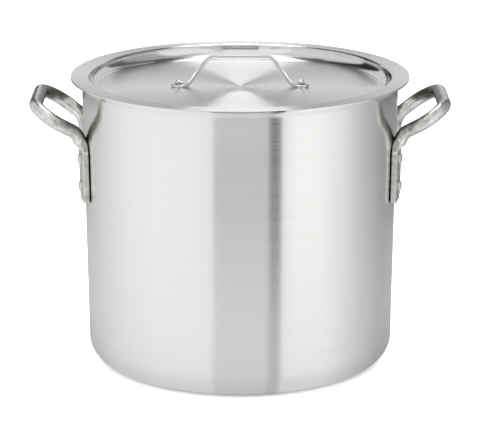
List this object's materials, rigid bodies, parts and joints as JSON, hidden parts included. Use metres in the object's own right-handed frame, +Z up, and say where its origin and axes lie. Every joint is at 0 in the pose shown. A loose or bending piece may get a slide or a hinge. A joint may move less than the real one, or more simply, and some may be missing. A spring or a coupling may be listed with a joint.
{
  "type": "stock pot",
  "caption": "Tall round aluminium stock pot with riveted loop handles at the sides and a recessed lift-off lid with a bent strap handle.",
  "frame": {"origin": "centre of the pot's flat bottom, on the surface it stands on", "axes": "+Z up the pot's axis, +X towards the right-hand side handle, the front of the pot faces -Y"},
  "size_m": [0.43, 0.348, 0.3171],
  "materials": {
    "brushed_body": "satin, fine brush lines running round the pot",
    "spun_lid": "satin, spun concentric lines",
    "tumbled_rod": "dull tumbled cast look with darker scuffs at the bends",
    "polished_strap": "half polished",
    "handle_rivet": "satin, slightly dulled",
    "lid_rivet": "bright"
  },
  "bodies": {
    "pot": {"pot_shell": "brushed_body", "left_handle": "tumbled_rod", "right_handle": "tumbled_rod", "left_handle_front_lower_rivet": "handle_rivet", "left_handle_front_upper_rivet": "handle_rivet", "left_handle_back_lower_rivet": "handle_rivet", "left_handle_back_upper_rivet": "handle_rivet", "right_handle_front_lower_rivet": "handle_rivet", "right_handle_front_upper_rivet": "handle_rivet", "right_handle_back_lower_rivet": "handle_rivet", "right_handle_back_upper_rivet": "handle_rivet"},
    "lid": {"lid_pan": "spun_lid", "lid_handle": "polished_strap", "lid_handle_left_rivet": "lid_rivet", "lid_handle_right_rivet": "lid_rivet"}
  },
  "joints": [
    {"name": "lid_lift", "type": "slide", "parent": "pot", "child": "lid", "axis": [0, 0, 1], "range_m": [0, 0.15]}
  ]
}
